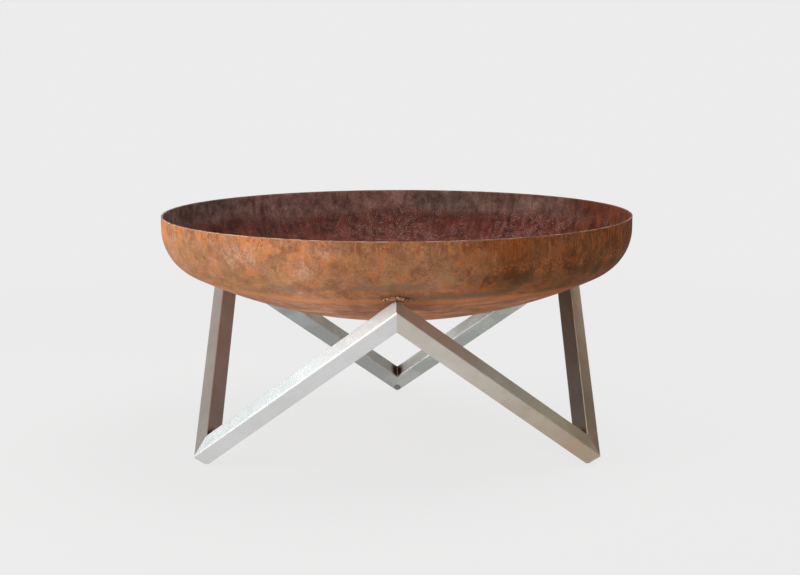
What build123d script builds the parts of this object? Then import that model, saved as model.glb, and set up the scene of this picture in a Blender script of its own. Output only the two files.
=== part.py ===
from build123d import *
import math
import os

# Fire pit: a dished weathering-steel bowl that stands on a welded zigzag
# stand of six mitred square tubes, with a round log grate inside the bowl.
# Millimetres. Origin on the floor under the bowl's axis, +Z up, -Y is the
# front, where one upper corner of the stand points forward.

# ---- bowl: torispherical dished end, pressed from plate -----------------
BOWL_R = 400.0          # outer radius at the rim
BOWL_T = 3.0            # plate thickness
RIM_Z = 394.4           # height of the rim's cut edge above the floor
FLANGE = 20.8           # straight wall below the rim
KNUCKLE_R = 83.0        # outer knuckle radius
CROWN_R = 805.0         # outer crown radius
RIM_EASE = 0.5          # ground-off edge of the cut rim
DRAIN_R = 5.0           # rain-water hole at the lowest point

# ---- stand: six 30 x 30 x 2 square tubes, set on edge -------------------
TUBE_A = 30.0           # section side
TUBE_WALL = 2.0
TUBE_CORNER_R = 2.5     # outer corner radius of the section
CORNER_R = 359.0        # plan radius of all six corners, on the centrelines
TOP_Z = 276.8           # centreline height of the three upper corners
BOTTOM_Z = 23.0         # centreline height of the three lower corners
TOP_ANGLES = (270.0, 150.0, 30.0)
BOTTOM_ANGLES = (210.0, 90.0, 330.0)

# ---- seat stops: chevrons of half-round bar welded under the bowl -------
STOP_R = 4.2            # radius of the bar
STOP_LIFT = 0.6         # bar centre outside the bowl's surface
STOP_NOSE = 366.0       # plan radius of the chevron's nose
STOP_HALF = 20.0        # half span across
STOP_TAIL = 357.4       # distance of its two ends from the YZ or rotated plane

# ---- grate: round bars welded on a ring, lifts out by two loops ---------
GRATE_RING_R = 230.0    # ring centreline
RING_BAR = 10.0
BAR_D = 8.0
BAR_PITCH = 46.0
BAR_COUNT = 9
CROSS_Y = 80.0
CROSS_D = 10.0
FOOT_D = 10.0
FOOT_LEN = 28.0
LOOP_HALF = 40.0
LOOP_RISE = 38.0
LOOP_BEND = 13.0
WELD_BITE = 0.3         # how far welded bars melt into each other
FOOT_GAP = 0.02         # air under each foot's axis; its chamfer clears 0.3

os.makedirs("parts", exist_ok=True)


def save(shape, name):
    export_step(shape, f"parts/{name}.step")


def polar(radius, angle, z):
    a = math.radians(angle)
    return Vector(radius * math.cos(a), radius * math.sin(a), z)


# ------------------------------------------------------------------ bowl
KN_R = BOWL_R - KNUCKLE_R                     # plan radius of knuckle centre
KN_Z = RIM_Z - FLANGE
CROWN_Z = KN_Z + math.sqrt((CROWN_R - KNUCKLE_R) ** 2 - KN_R ** 2)
TAN_A = math.atan2(KN_Z - CROWN_Z, KN_R)      # direction of the tangent point


def dish_profile(offset, top):
    """Half section of the dish, inset from the outer surface by offset."""
    rk = KNUCKLE_R - offset
    rc = CROWN_R - offset
    p0 = (BOWL_R - offset, top)
    p1 = (BOWL_R - offset, KN_Z)
    mid = TAN_A / 2
    pm = (KN_R + rk * math.cos(mid), KN_Z + rk * math.sin(mid))
    p2 = (KN_R + rk * math.cos(TAN_A), KN_Z + rk * math.sin(TAN_A))
    mc = (TAN_A - math.pi / 2) / 2
    pc = (rc * math.cos(mc), CROWN_Z + rc * math.sin(mc))
    p3 = (0.0, CROWN_Z - rc)
    return p0, p1, pm, p2, pc, p3


def dish_solid(offset, top):
    p0, p1, pm, p2, pc, p3 = dish_profile(offset, top)
    with BuildPart() as bp:
        with BuildSketch(Plane.XZ):
            with BuildLine():
                Line(p0, p1)
                ThreePointArc(p1, pm, p2)
                ThreePointArc(p2, pc, p3)
                Line(p3, (0.0, top))
                Line((0.0, top), p0)
            make_face()
        revolve(axis=Axis.Z)
    return bp.part


def bowl_shell():
    o = dish_profile(0.0, RIM_Z)
    i = dish_profile(BOWL_T, RIM_Z)
    with BuildPart() as bp:
        with BuildSketch(Plane.XZ):
            with BuildLine():
                Line(o[0], o[1])
                ThreePointArc(o[1], o[2], o[3])
                ThreePointArc(o[3], o[4], o[5])
                Line(o[5], i[5])
                ThreePointArc(i[5], i[4], i[3])
                ThreePointArc(i[3], i[2], i[1])
                Line(i[1], i[0])
                Line(i[0], o[0])
            make_face()
        revolve(axis=Axis.Z)
        rim = bp.edges().filter_by(GeomType.CIRCLE).filter_by(
            lambda e: abs(e.center().Z - RIM_Z) < 1e-3)
        fillet(rim, RIM_EASE)
        with Locations((0, 0, CROWN_Z - CROWN_R)):
            Cylinder(DRAIN_R, 20, mode=Mode.SUBTRACT)
    return bp.part


def surface_point(plan_r, lift):
    """Point on the knuckle's outer surface at plan_r, moved out by lift."""
    c = (plan_r - KN_R) / KNUCKLE_R
    s = -math.sqrt(1 - c * c)
    return KN_R + (KNUCKLE_R + lift) * c, KN_Z + (KNUCKLE_R + lift) * s


shell = bowl_shell()
save(shell, "bowl_shell")

# ------------------------------------------------------------ seat stops
outer_body = dish_solid(0.0, RIM_Z)


def seat_stop(angle):
    """Chevron hugging the stand's upper corner at this plan angle."""
    rn, zn = surface_point(STOP_NOSE, STOP_LIFT)
    tail_plan = math.hypot(STOP_HALF, STOP_TAIL)
    rt, zt = surface_point(tail_plan, STOP_LIFT)
    k = rt / tail_plan
    # built pointing along +X, then turned to the corner's angle
    a = Vector(STOP_TAIL * k, -STOP_HALF * k, zt)
    n = Vector(rn, 0, zn)
    b = Vector(STOP_TAIL * k, STOP_HALF * k, zt)
    path = FilletPolyline(a, n, b, radius=7.0)
    start = Plane(origin=path @ 0, z_dir=path % 0)
    bar = sweep(start * Circle(STOP_R), path=path)
    for tip in (a, b):
        bar = bar + Pos(tip) * Sphere(STOP_R)
    bead = bar - outer_body
    return Rot(0, 0, angle) * bead


for ang, nm in zip(TOP_ANGLES, ("front", "back_left", "back_right")):
    save(seat_stop(ang), f"seat_stop_{nm}")

# ----------------------------------------------------------------- stand
def stand_tube(top_angle, bottom_angle):
    """Square tube on edge between an upper and a lower corner, mitred on
    the vertical planes through the bowl's axis and both corners."""
    top = polar(CORNER_R, top_angle, TOP_Z)
    bot = polar(CORNER_R, bottom_angle, BOTTOM_Z)
    u = (bot - top).normalized()
    length = (bot - top).length
    side = u.cross(Vector(0, 0, 1)).normalized()
    up = side.cross(u).normalized()
    across = (side + up).normalized()
    frame = Plane(origin=top - u * 60, x_dir=across, z_dir=u)
    inner_r = max(TUBE_CORNER_R - TUBE_WALL, 0.3)
    profile = RectangleRounded(TUBE_A, TUBE_A, TUBE_CORNER_R)
    profile -= RectangleRounded(TUBE_A - 2 * TUBE_WALL,
                                TUBE_A - 2 * TUBE_WALL, inner_r)
    bar = extrude(frame * profile, amount=length + 120)
    a0, a1 = sorted((top_angle, bottom_angle))
    if a1 - a0 > 180:
        a0, a1 = a1, a0 + 360
    reach = 620.0
    wedge_face = make_face([
        Line((0, 0), polar(reach, a0, 0)),
        Line(polar(reach, a0, 0), polar(reach, a1, 0)),
        Line(polar(reach, a1, 0), (0, 0)),
    ])
    wedge = extrude(wedge_face, amount=400)
    return bar & wedge


TUBES = {
    "stand_tube_front_left": (270.0, 210.0),
    "stand_tube_front_right": (270.0, 330.0),
    "stand_tube_side_left": (150.0, 210.0),
    "stand_tube_side_right": (30.0, 330.0),
    "stand_tube_back_left": (150.0, 90.0),
    "stand_tube_back_right": (30.0, 90.0),
}
for nm, (ta, ba) in TUBES.items():
    save(stand_tube(ta, ba), nm)

# ----------------------------------------------------------------- grate
INNER_BOTTOM = CROWN_Z - (CROWN_R - BOWL_T)
rc_in = CROWN_R - BOWL_T
foot_edge = GRATE_RING_R + FOOT_D / 2
FOOT_Z0 = CROWN_Z - math.sqrt(rc_in ** 2 - foot_edge ** 2) + FOOT_GAP
RING_Z = FOOT_Z0 + FOOT_LEN + RING_BAR / 2 - WELD_BITE
BAR_Z = RING_Z + RING_BAR / 2 + BAR_D / 2 - WELD_BITE

ring = Pos(0, 0, RING_Z) * Torus(GRATE_RING_R, RING_BAR / 2)
save(ring, "grate_ring")


def rod(p, q, d):
    axis = (q - p).normalized()
    return extrude(Plane(origin=p, z_dir=axis) * Circle(d / 2),
                   amount=(q - p).length)


for k in range(BAR_COUNT):
    x = (k - (BAR_COUNT - 1) / 2) * BAR_PITCH
    y = math.sqrt(GRATE_RING_R ** 2 - x * x) + 4.0
    bar = rod(Vector(x, -y, BAR_Z), Vector(x, y, BAR_Z), BAR_D)
    bar = chamfer(bar.edges().filter_by(GeomType.CIRCLE), 0.8)
    save(bar, f"grate_bar_{k + 1}")

for nm, y in (("front", -CROSS_Y), ("back", CROSS_Y)):
    x = math.sqrt(GRATE_RING_R ** 2 - y * y)
    cross = rod(Vector(-x, y, RING_Z), Vector(x, y, RING_Z), CROSS_D)
    cross = cross - ring
    cross = max(cross.solids(), key=lambda s: s.volume)
    save(cross, f"grate_cross_bar_{nm}")

for nm, ang in (("front_left", 225.0), ("front_right", 315.0),
                ("back_left", 135.0), ("back_right", 45.0)):
    foot = rod(polar(GRATE_RING_R, ang, FOOT_Z0),
               polar(GRATE_RING_R, ang, FOOT_Z0 + FOOT_LEN), FOOT_D)
    foot = chamfer(foot.edges().filter_by(GeomType.CIRCLE)
                   .sort_by(Axis.Z)[:1], 1.0)
    save(foot, f"grate_foot_{nm}")

loop_x = math.sqrt(GRATE_RING_R ** 2 - LOOP_HALF ** 2)
z0 = RING_Z + RING_BAR / 2 - WELD_BITE
for nm, s in (("left", -1.0), ("right", 1.0)):
    pts = [Vector(s * loop_x, -LOOP_HALF, z0),
           Vector(s * loop_x, -LOOP_HALF, z0 + LOOP_RISE),
           Vector(s * loop_x, LOOP_HALF, z0 + LOOP_RISE),
           Vector(s * loop_x, LOOP_HALF, z0)]
    path = FilletPolyline(*pts, radius=LOOP_BEND)
    loop = sweep(Plane(origin=pts[0], z_dir=(0, 0, 1)) * Circle(BAR_D / 2),
                 path=path)
    save(loop, f"grate_loop_{nm}")

print("ring z", RING_Z, "bar z", BAR_Z, "foot z", FOOT_Z0,
      "inner bottom", INNER_BOTTOM, "loop x", loop_x,
      "loop top", z0 + LOOP_RISE + BAR_D / 2)
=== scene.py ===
import math

import bpy
import numpy as np
from mathutils import Matrix, Vector


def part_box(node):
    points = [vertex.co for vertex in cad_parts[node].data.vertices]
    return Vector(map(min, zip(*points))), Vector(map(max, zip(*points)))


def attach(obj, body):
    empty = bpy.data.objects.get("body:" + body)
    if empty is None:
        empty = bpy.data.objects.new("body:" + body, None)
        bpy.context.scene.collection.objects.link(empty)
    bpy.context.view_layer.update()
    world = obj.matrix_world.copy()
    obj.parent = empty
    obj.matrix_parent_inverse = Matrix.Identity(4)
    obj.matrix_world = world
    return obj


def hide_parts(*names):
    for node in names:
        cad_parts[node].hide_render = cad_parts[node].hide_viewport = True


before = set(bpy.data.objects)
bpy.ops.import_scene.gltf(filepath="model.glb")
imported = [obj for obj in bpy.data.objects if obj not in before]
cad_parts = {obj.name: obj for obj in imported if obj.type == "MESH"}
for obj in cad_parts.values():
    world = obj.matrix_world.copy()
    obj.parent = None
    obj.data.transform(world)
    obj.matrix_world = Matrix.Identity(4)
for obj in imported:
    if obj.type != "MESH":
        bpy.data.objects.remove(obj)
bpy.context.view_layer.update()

# ------------------------------------------------------------------ measures
# metres, in the frame of the CAD part: floor at z = 0, -Y is the front
BOWL_R, BOWL_T, RIM_Z, FLANGE = 0.400, 0.003, 0.3944, 0.0208
KNUCKLE_R, CROWN_R, DRAIN_R = 0.083, 0.805, 0.005
KN_R, KN_Z = BOWL_R - KNUCKLE_R, RIM_Z - FLANGE
CROWN_Z = KN_Z + math.sqrt((CROWN_R - KNUCKLE_R) ** 2 - KN_R ** 2)
TAN_A = math.atan2(KN_Z - CROWN_Z, KN_R)
TUBE_A, TUBE_CORNER_R = 0.030, 0.0025
CORNER_R, TOP_Z, BOTTOM_Z = 0.359, 0.2768, 0.0230
TUBES = {
    "stand_tube_front_left": (270.0, 210.0),
    "stand_tube_front_right": (270.0, 330.0),
    "stand_tube_side_left": (150.0, 210.0),
    "stand_tube_side_right": (30.0, 330.0),
    "stand_tube_back_left": (150.0, 90.0),
    "stand_tube_back_right": (30.0, 90.0),
}


# ------------------------------------------------------------- small helpers
def lattice(p, seed=0):
    """Smooth value noise, -1 to 1, at the rows of p."""
    i = np.floor(p).astype(np.int64)
    f = p - i
    f = f * f * f * (f * (f * 6 - 15) + 10)
    out = np.zeros(len(p))
    for dx in (0, 1):
        for dy in (0, 1):
            for dz in (0, 1):
                h = ((i[:, 0] + dx) * 73856093) ^ ((i[:, 1] + dy) * 19349663)
                h = h ^ ((i[:, 2] + dz) * 83492791) ^ (seed * 2654435761)
                h = (h ^ (h >> 13)) & 0xFFFFFFFF
                h = (h * 1274126177) & 0xFFFFFFFF
                h = (h ^ (h >> 15)) & 0xFFFFFFFF
                h = (h * 2246822519) & 0xFFFFFFFF
                h = (h ^ (h >> 16)) & 0xFFFFFF
                w = (f[:, 0] if dx else 1 - f[:, 0])
                w = w * (f[:, 1] if dy else 1 - f[:, 1])
                w = w * (f[:, 2] if dz else 1 - f[:, 2])
                out += w * (h / float(0xFFFFFF) * 2 - 1)
    return out


def fbm(p, octaves=3, seed=0, gain=0.5):
    out, amp, tot = 0.0, 1.0, 0.0
    for k in range(octaves):
        out = out + amp * lattice(p * (2.0 ** k), seed + 17 * k)
        tot += amp
        amp *= gain
    return out / tot


def mesh_object(name, verts, faces, mats=(), face_mat=None, smooth=True):
    me = bpy.data.meshes.new(name)
    me.from_pydata([tuple(map(float, v)) for v in verts], [],
                   [tuple(int(i) for i in f) for f in faces])
    me.validate()
    me.update()
    for m in mats:
        me.materials.append(m)
    if face_mat is not None:
        me.polygons.foreach_set("material_index",
                                np.asarray(face_mat, np.int32))
    if smooth:
        me.polygons.foreach_set("use_smooth", [True] * len(me.polygons))
    ob = bpy.data.objects.new(name, me)
    bpy.context.scene.collection.objects.link(ob)
    return ob


class Nodes:
    """Writes one node material."""

    def __init__(self, name):
        self.mat = bpy.data.materials.new(name)
        self.mat.use_nodes = True
        self.t = self.mat.node_tree
        self.t.nodes.clear()
        self.out = self.t.nodes.new("ShaderNodeOutputMaterial")
        self.bsdf = self.t.nodes.new("ShaderNodeBsdfPrincipled")
        self.t.links.new(self.bsdf.outputs[0], self.out.inputs[0])
        self._coord = None
        self._geo = None

    def set(self, **kw):
        for k, v in kw.items():
            self.bsdf.inputs[k.replace("_", " ")].default_value = v

    def _in(self, socket, v):
        if v is None:
            return
        if isinstance(v, bpy.types.NodeSocket):
            self.t.links.new(v, socket)
        else:
            socket.default_value = v

    @property
    def pos(self):
        if self._coord is None:
            self._coord = self.t.nodes.new("ShaderNodeTexCoord")
        return self._coord.outputs["Object"]

    @property
    def normal(self):
        if self._geo is None:
            self._geo = self.t.nodes.new("ShaderNodeNewGeometry")
        return self._geo.outputs["Normal"]

    def split(self, v):
        n = self.t.nodes.new("ShaderNodeSeparateXYZ")
        self._in(n.inputs[0], v)
        return n.outputs[0], n.outputs[1], n.outputs[2]

    def join(self, x, y, z):
        n = self.t.nodes.new("ShaderNodeCombineXYZ")
        for i, v in enumerate((x, y, z)):
            self._in(n.inputs[i], v)
        return n.outputs[0]

    def m(self, op, a, b=None, c=None, clamp=False):
        n = self.t.nodes.new("ShaderNodeMath")
        n.operation = op
        n.use_clamp = clamp
        for i, v in enumerate((a, b, c)):
            self._in(n.inputs[i], v)
        return n.outputs[0]

    def vm(self, op, a, b=None, scale=None):
        n = self.t.nodes.new("ShaderNodeVectorMath")
        n.operation = op
        self._in(n.inputs[0], a)
        if b is not None:
            self._in(n.inputs[1], b)
        if scale is not None:
            self._in(n.inputs["Scale"], scale)
        return n.outputs["Value"] if op in ("DOT_PRODUCT", "LENGTH", "DISTANCE") \
            else n.outputs[0]

    def step(self, v, a, b, lo=0.0, hi=1.0):
        """Smooth step of v from lo at a to hi at b."""
        n = self.t.nodes.new("ShaderNodeMapRange")
        n.interpolation_type = "SMOOTHSTEP"
        self._in(n.inputs["Value"], v)
        if a > b:
            a, b, lo, hi = b, a, hi, lo
        n.inputs["From Min"].default_value = a
        n.inputs["From Max"].default_value = b
        n.inputs["To Min"].default_value = lo
        n.inputs["To Max"].default_value = hi
        return n.outputs["Result"]

    def noise(self, vec, scale, detail=3.0, rough=0.5, dist=0.0, lac=2.0):
        n = self.t.nodes.new("ShaderNodeTexNoise")
        self._in(n.inputs["Vector"], vec)
        n.inputs["Scale"].default_value = scale
        n.inputs["Detail"].default_value = detail
        n.inputs["Roughness"].default_value = rough
        n.inputs["Distortion"].default_value = dist
        n.inputs["Lacunarity"].default_value = lac
        return n.outputs[0]

    def cells(self, vec, scale, feature="F1", rand=1.0, out="Distance"):
        n = self.t.nodes.new("ShaderNodeTexVoronoi")
        n.feature = feature
        self._in(n.inputs["Vector"], vec)
        n.inputs["Scale"].default_value = scale
        n.inputs["Randomness"].default_value = rand
        return n.outputs[out]

    def ramp(self, fac, stops, interp="LINEAR"):
        n = self.t.nodes.new("ShaderNodeValToRGB")
        n.color_ramp.interpolation = interp
        e = n.color_ramp.elements
        while len(e) < len(stops):
            e.new(0.5)
        for el, (p, c) in zip(e, stops):
            el.position = p
            el.color = (*c, 1.0) if len(c) == 3 else c
        self._in(n.inputs[0], fac)
        return n.outputs[0]

    def mix(self, fac, a, b, blend="MIX"):
        n = self.t.nodes.new("ShaderNodeMix")
        n.data_type = "RGBA"
        n.blend_type = blend
        n.clamp_factor = True
        self._in(n.inputs[0], fac)
        for s, v in ((n.inputs[6], a), (n.inputs[7], b)):
            if isinstance(v, tuple) and len(v) == 3:
                v = (*v, 1.0)
            self._in(s, v)
        return n.outputs[2]

    def bump(self, height, strength=0.3, distance=0.001, normal=None):
        n = self.t.nodes.new("ShaderNodeBump")
        n.inputs["Strength"].default_value = strength
        n.inputs["Distance"].default_value = distance
        self._in(n.inputs["Height"], height)
        if normal is not None:
            self._in(n.inputs["Normal"], normal)
        return n.outputs[0]

    def to(self, name, v):
        self._in(self.bsdf.inputs[name], v)


def srgb(r, g, b):
    def f(c):
        c /= 255.0
        return c / 12.92 if c <= 0.04045 else ((c + 0.055) / 1.055) ** 2.4
    return (f(r), f(g), f(b))


def round_dirs(N):
    """Height, distance from the axis, and the unit direction from the axis."""
    x, y, z = N.split(N.pos)
    r = N.m("SQRT", N.m("ADD", N.m("MULTIPLY", x, x), N.m("MULTIPLY", y, y)))
    rs = N.m("MAXIMUM", r, 0.0005)
    return x, y, z, r, N.m("DIVIDE", x, rs), N.m("DIVIDE", y, rs)


# ------------------------------------------------------------------ materials
def rust_outside():
    N = Nodes("weathering_steel_outside")
    x, y, z, r, cx, cy = round_dirs(N)

    def wall(k):
        """Wall coordinates: k under 1 stretches the pattern down the wall."""
        return N.join(N.m("MULTIPLY", cx, 0.4), N.m("MULTIPLY", cy, 0.4),
                      N.m("MULTIPLY", z, k))

    def apart(k):
        return N.vm("ADD", N.pos, (k * 1.37, k * -2.11, k * 0.83))

    def times(*f):
        out = f[0]
        for g in f[1:]:
            out = N.m("MULTIPLY", out, g)
        return out

    # broad tone: one side pale orange, the other brown; part patina, part painted light, the side
    # toward the key lamp painted paler and the side away painted darker
    big = N.noise(N.pos, 8.0, 3.0, 0.5)
    side = N.vm("DOT_PRODUCT", N.join(cx, cy, 0.0), (-0.90, -0.43, 0.0))
    patina_and_painted_light = N.m("ADD", N.m("MULTIPLY", side, 0.66),
               N.m("MULTIPLY", N.m("SUBTRACT", big, 0.5), 1.0))
    patina_and_painted_light = N.step(patina_and_painted_light, -0.56, 0.86)
    mott = N.noise(N.pos, 52.0, 5.0, 0.66)
    fine = N.noise(N.pos, 300.0, 4.0, 0.70)
    pale = N.ramp(mott, [(0.34, srgb(153, 103, 73)), (0.46, srgb(172, 119, 86)),
                         (0.56, srgb(186, 133, 99)), (0.68, srgb(199, 150, 119))])
    brown = N.ramp(mott, [(0.34, srgb(70, 37, 13)), (0.46, srgb(90, 49, 17)),
                          (0.57, srgb(106, 59, 21)), (0.70, srgb(126, 75, 34))])
    col = N.mix(patina_and_painted_light, brown, pale)
    low = N.step(z, 0.372, 0.325)
    # patches with fairly sharp edges: orange, mauve, and olive tan lower down
    h1 = N.noise(apart(1), 30.0, 5.0, 0.66)
    h2 = N.noise(apart(2), 36.0, 5.0, 0.68)
    h3 = N.noise(apart(3), 24.0, 5.0, 0.66)
    col = N.mix(times(N.step(h1, 0.525, 0.57), 0.46), col,
                N.mix(patina_and_painted_light, srgb(136, 68, 20), srgb(218, 138, 86)))
    col = N.mix(times(N.step(h2, 0.475, 0.43), 0.42), col,
                N.mix(patina_and_painted_light, srgb(88, 52, 34), srgb(184, 134, 112)))
    col = N.mix(times(N.step(h3, 0.50, 0.56), 0.50, N.step(z, 0.385, 0.335, 0.25, 1.0)),
                col, N.mix(patina_and_painted_light, srgb(82, 58, 28), srgb(176, 138, 98)))
    col = N.mix(times(N.step(h1, 0.46, 0.42), 0.34), col,
                N.mix(patina_and_painted_light, srgb(72, 44, 22), srgb(160, 108, 78)))
    # short vertical dashes in the first finger's width below the rim
    stip = N.noise(wall(0.30), 190.0, 3.0, 0.55)
    stip_h = times(N.step(z, 0.366, 0.382), N.step(h2, 0.44, 0.56, 0.35, 1.0))
    col = N.mix(times(N.step(stip, 0.54, 0.61), stip_h, 0.42),
                col, N.mix(patina_and_painted_light, srgb(150, 90, 44), srgb(232, 162, 106)))
    col = N.mix(times(N.step(stip, 0.46, 0.39), stip_h, 0.40),
                col, N.mix(patina_and_painted_light, srgb(62, 34, 14), srgb(150, 86, 58)))
    # fine grain of the rust
    grain = N.ramp(fine, [(0.34, (0.66, 0.62, 0.60)), (0.45, (0.90, 0.88, 0.86)),
                          (0.52, (1.01, 1.01, 1.00)), (0.66, (1.30, 1.27, 1.22))])
    col = N.mix(N.step(patina_and_painted_light, 0.0, 1.0, 0.62, 0.46), col, grain, "MULTIPLY")
    # vertical drips below the rim, that wander a little
    sway = N.noise(N.pos, 42.0, 2.0, 0.5)
    sway = N.m("MULTIPLY", N.m("SUBTRACT", sway, 0.5), 0.010)
    dv = N.join(N.m("ADD", N.m("MULTIPLY", cx, 0.4), sway),
                N.m("ADD", N.m("MULTIPLY", cy, 0.4), sway), N.m("MULTIPLY", z, 0.085))
    drip = N.noise(dv, 300.0, 2.0, 0.5)
    drip2 = N.noise(wall(0.16), 85.0, 3.0, 0.6)
    reach = N.m("ADD", z, N.m("MULTIPLY", N.m("SUBTRACT", drip2, 0.5), 0.085))
    high = N.step(reach, 0.350, 0.364)
    broken = N.step(N.noise(wall(0.5), 110.0, 3.0, 0.6), 0.42, 0.54, 0.30, 1.0)
    light_drip = times(N.step(drip, 0.56, 0.61), high, broken)
    dark_drip = times(N.step(drip, 0.45, 0.38), high)
    col = N.mix(times(light_drip, N.step(patina_and_painted_light, 0.0, 0.9, 0.58, 0.10)), col,
                N.mix(patina_and_painted_light, srgb(154, 95, 50), srgb(222, 152, 104)))
    col = N.mix(times(dark_drip, N.step(patina_and_painted_light, 0.0, 0.9, 0.36, 0.10)), col,
                N.mix(patina_and_painted_light, srgb(60, 33, 14), srgb(150, 96, 70)))
    # crumbly crust where the drips end
    cr = N.noise(N.pos, 230.0, 3.0, 0.62)
    crz = N.m("ADD", z, N.m("MULTIPLY", N.m("SUBTRACT", h2, 0.5), 0.05))
    crust = times(N.step(crz, 0.334, 0.343), N.step(crz, 0.362, 0.350))
    col = N.mix(times(N.step(cr, 0.52, 0.58), crust, N.step(patina_and_painted_light, 0.0, 0.9, 0.60, 0.20)),
                col, N.mix(patina_and_painted_light, srgb(176, 98, 58), srgb(216, 150, 118)))
    # orange blooms near the rim
    bloom = N.noise(apart(4), 15.0, 4.0, 0.62)
    bloom_m = times(N.step(bloom, 0.50, 0.57), N.step(z, 0.350, 0.376))
    col = N.mix(times(bloom_m, N.step(patina_and_painted_light, 0.2, 1.0, 0.28, 0.58)), col,
                N.mix(patina_and_painted_light, srgb(144, 72, 24), srgb(232, 146, 88)))
    # red-brown stipple right under the rim
    rs = N.noise(N.pos, 210.0, 3.0, 0.6)
    rs_m = times(N.step(z, 0.374, 0.384), N.step(rs, 0.50, 0.44),
                 N.step(h3, 0.44, 0.54))
    col = N.mix(times(rs_m, 0.55), col, N.mix(patina_and_painted_light, srgb(74, 38, 18), srgb(150, 80, 52)))
    # chalky bloom where water has dried
    here = N.step(N.vm("DOT_PRODUCT", N.join(cx, cy, 0.0), (-0.50, -0.866, 0.0)),
                  0.90, 0.985)
    chalk = N.noise(wall(0.9), 26.0, 5.0, 0.66)
    chalk = N.m("ADD", chalk, N.m("MULTIPLY", here, 0.055))
    chalk2 = N.noise(N.pos, 200.0, 3.0, 0.6)
    chalk_m = times(N.step(chalk, 0.56, 0.66), N.step(chalk2, 0.44, 0.58, 0.25, 1.0),
                    N.step(z, 0.385, 0.376), N.step(z, 0.330, 0.350, 0.2, 1.0))
    col = N.mix(times(chalk_m, N.step(patina_and_painted_light, 0.0, 1.0, 0.22, 0.60)), col,
                N.mix(patina_and_painted_light, srgb(150, 104, 76), srgb(214, 176, 156)))
    # grey and olive smudges along the lower wall
    band_v = N.join(N.m("MULTIPLY", x, 0.22), N.m("MULTIPLY", y, 0.22), z)
    smear = N.noise(band_v, 62.0, 5.0, 0.66)
    in_band = times(N.step(z, 0.288, 0.300), N.step(z, 0.345, 0.315))
    smear_m = times(N.step(smear, 0.50, 0.60), in_band)
    col = N.mix(times(smear_m, N.step(patina_and_painted_light, 0.0, 1.0, 0.78, 0.62)), col,
                N.mix(patina_and_painted_light, srgb(66, 48, 28), srgb(146, 116, 92)))
    olive = N.noise(apart(5), 17.0, 5.0, 0.66)
    olive_m = times(N.step(olive, 0.51, 0.61), N.step(patina_and_painted_light, 0.85, 0.25),
                    N.step(z, 0.372, 0.338, 0.15, 1.0))
    col = N.mix(times(olive_m, 0.58), col, srgb(66, 45, 20))
    # grey patches left of the front stop, above it and one to its right
    for dx, dy, z0, near, tall in ((-0.455, -0.890, 0.3153, 0.9960, 0.0080),
                                   (-0.010, -1.000, 0.3229, 0.9744, 0.0082),
                                   (-0.139, -0.990, 0.3360, 0.9988, 0.0080),
                                   (0.230, -0.973, 0.3045, 0.9650, 0.0080)):
        at = N.vm("DOT_PRODUCT", N.join(cx, cy, 0.0), (dx, dy, 0.0))
        dz = N.m("ABSOLUTE", N.m("SUBTRACT", z, z0))
        grey_patch = times(N.step(at, near, 1.0 - (1.0 - near) * 0.25),
                    N.step(dz, tall, tall * 0.3),
                    N.step(smear, 0.38, 0.54, 0.30, 1.0))
        col = N.mix(times(grey_patch, 0.78), col,
                    N.mix(patina_and_painted_light, srgb(88, 70, 52), srgb(136, 116, 102)))
    # painted contact shadow: dark round the three seats, where the dish rests on the stand
    for deg in (270.0, 150.0, 30.0):
        a = math.radians(deg)
        d = N.vm("DISTANCE", N.pos, (0.357 * math.cos(a), 0.357 * math.sin(a), 0.2985))
        d = N.m("ADD", d, N.m("MULTIPLY", N.m("SUBTRACT", h2, 0.5), 0.030))
        col = N.mix(times(N.step(d, 0.031, 0.011), 0.62), col,
                    N.mix(patina_and_painted_light, srgb(74, 42, 22), srgb(92, 56, 36)))
    # the line where drips stop, orange, and the duller underside
    wob = N.m("MULTIPLY", N.m("SUBTRACT", N.noise(N.pos, 9.0, 3.0, 0.6), 0.5), 0.014)
    zl = N.m("ADD", z, wob)
    line = times(N.step(zl, 0.285, 0.2925), N.step(zl, 0.305, 0.2950))
    col = N.mix(times(line, 0.60), col,
                N.mix(patina_and_painted_light, srgb(168, 88, 38), srgb(222, 148, 100)))
    under = N.step(zl, 0.2925, 0.284)
    ring = N.noise(N.join(N.m("MULTIPLY", cx, 0.05), N.m("MULTIPLY", cy, 0.05), r),
                   60.0, 4.0, 0.62)
    und_col = N.ramp(N.m("ADD", N.m("MULTIPLY", ring, 0.55),
                         N.m("MULTIPLY", mott, 0.45)),
                     [(0.38, srgb(138, 95, 76)), (0.47, srgb(168, 118, 94)),
                      (0.55, srgb(190, 138, 112)), (0.66, srgb(212, 166, 142))])
    und_col = N.mix(patina_and_painted_light, N.mix(0.48, und_col, srgb(122, 74, 38)), und_col)
    col = N.mix(times(under, 0.80), col, und_col)
    # lower down the pale side is a little lighter
    col = N.mix(times(N.step(z, 0.345, 0.300), N.step(patina_and_painted_light, 0.25, 0.85)), col,
                (1.10, 1.06, 1.04), "MULTIPLY")
    # and the far left a little deeper
    col = N.mix(N.step(side, 0.72, 0.95), col, (0.84, 0.84, 0.80), "MULTIPLY")
    # the brown side is the deeper in hue
    col = N.mix(N.step(patina_and_painted_light, 1.0, 0.0), col, (1.02, 0.86, 0.62), "MULTIPLY")
    # pale and dark specks
    sp = N.cells(N.pos, 330.0)
    pick = N.noise(N.pos, 60.0, 2.0, 0.5)
    speck = times(N.step(sp, 0.30, 0.16), N.step(pick, 0.53, 0.62))
    col = N.mix(times(speck, 0.34), col,
                N.mix(patina_and_painted_light, srgb(162, 100, 60), srgb(232, 184, 146)))
    sp2 = N.cells(N.pos, 210.0)
    pick2 = N.noise(N.pos, 45.0, 2.0, 0.5)
    dark = times(N.step(sp2, 0.30, 0.15), N.step(pick2, 0.46, 0.38))
    col = N.mix(times(dark, 0.60), col,
                N.mix(patina_and_painted_light, srgb(46, 28, 14), srgb(116, 74, 54)))
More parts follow.
